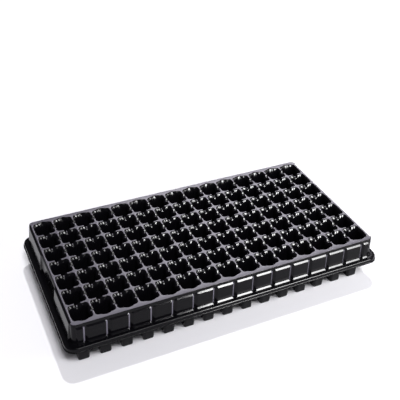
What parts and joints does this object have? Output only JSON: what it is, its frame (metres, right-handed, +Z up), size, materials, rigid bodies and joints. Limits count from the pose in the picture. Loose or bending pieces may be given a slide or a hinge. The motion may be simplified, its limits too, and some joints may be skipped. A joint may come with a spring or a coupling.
{
  "type": "plug tray",
  "caption": "Rectangular plug tray: a grid of tapered, drained cells under one deck, with a panelled skirt and a stepped stacking rim.",
  "frame": {"origin": "on the floor, under the middle of the tray", "axes": "+X along the length, +Y towards the rear long side, +Z up from the feet to the deck"},
  "size_m": [0.54, 0.28, 0.086],
  "materials": {
    "black_polystyrene": "formed polystyrene sheet, glossy black with a satin top face"
  },
  "bodies": {
    "root": {"column_01_odd_cells": "black_polystyrene", "column_01_even_cells": "black_polystyrene", "column_02_odd_cells": "black_polystyrene", "column_02_even_cells": "black_polystyrene", "column_03_odd_cells": "black_polystyrene", "column_03_even_cells": "black_polystyrene", "column_04_odd_cells": "black_polystyrene", "column_04_even_cells": "black_polystyrene", "column_05_odd_cells": "black_polystyrene", "column_05_even_cells": "black_polystyrene", "column_06_odd_cells": "black_polystyrene", "column_06_even_cells": "black_polystyrene", "column_07_odd_cells": "black_polystyrene", "column_07_even_cells": "black_polystyrene", "column_08_odd_cells": "black_polystyrene", "column_08_even_cells": "black_polystyrene", "column_09_odd_cells": "black_polystyrene", "column_09_even_cells": "black_polystyrene", "column_10_odd_cells": "black_polystyrene", "column_10_even_cells": "black_polystyrene", "column_11_odd_cells": "black_polystyrene", "column_11_even_cells": "black_polystyrene", "column_12_odd_cells": "black_polystyrene", "column_12_even_cells": "black_polystyrene", "column_13_odd_cells": "black_polystyrene", "column_13_even_cells": "black_polystyrene", "column_14_odd_cells": "black_polystyrene", "column_14_even_cells": "black_polystyrene", "column_15_odd_cells": "black_polystyrene", "column_15_even_cells": "black_polystyrene", "front_odd_panels": "black_polystyrene", "front_even_panels": "black_polystyrene", "rear_odd_panels": "black_polystyrene", "rear_even_panels": "black_polystyrene", "left_end_skirt": "black_polystyrene", "right_end_skirt": "black_polystyrene", "front_left_corner": "black_polystyrene", "front_right_corner": "black_polystyrene", "rear_left_corner": "black_polystyrene", "rear_right_corner": "black_polystyrene", "front_rim": "black_polystyrene", "rear_rim": "black_polystyrene", "left_rim": "black_polystyrene", "right_rim": "black_polystyrene"}
  },
  "joints": []
}
